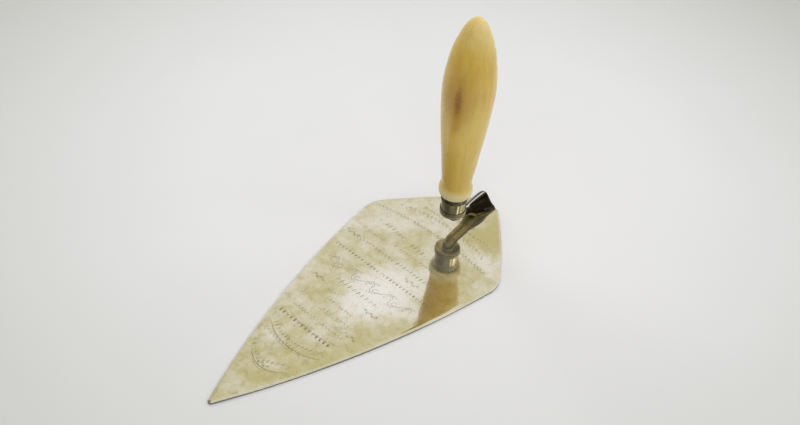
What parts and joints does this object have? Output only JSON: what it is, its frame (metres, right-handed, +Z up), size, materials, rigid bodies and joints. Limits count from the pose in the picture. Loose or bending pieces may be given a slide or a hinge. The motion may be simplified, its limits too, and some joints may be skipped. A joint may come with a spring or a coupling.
{
  "type": "pointing trowel",
  "caption": "Kite-shaped polished trowel blade on a low cranked shank, with a ringed ferrule and an upright turned handle, laid flat.",
  "frame": {"origin": "foot of the handle's axis on the flat underside of the blade", "axes": "+Z up along the handle's axis, +X from the tip towards the heel, +Y across the blade; the part is symmetric about the XZ plane"},
  "size_m": [0.2023, 0.0918, 0.136],
  "materials": {
    "blade_silver": "worn mirror polish, engraved, lightly tarnished",
    "cast_silver": "polished casting with dark tarnish",
    "solder": "dull hard solder",
    "ferrule_silver": "polished sheet, tarnished in the reeds",
    "resin": "dark set resin",
    "tang_steel": "forged, browned",
    "ivory": "polished, yellowed, with fine grain and a brown stain"
  },
  "bodies": {
    "root": {"blade": "blade_silver", "shank": "cast_silver", "foot_solder": "solder", "neck_solder": "solder", "ferrule_plate": "ferrule_silver", "ferrule_tube": "ferrule_silver", "ferrule_ring_lower": "ferrule_silver", "ferrule_ring_upper": "ferrule_silver", "ferrule_cement": "resin", "tang": "tang_steel", "tang_cement": "resin", "handle": "ivory"}
  },
  "joints": []
}
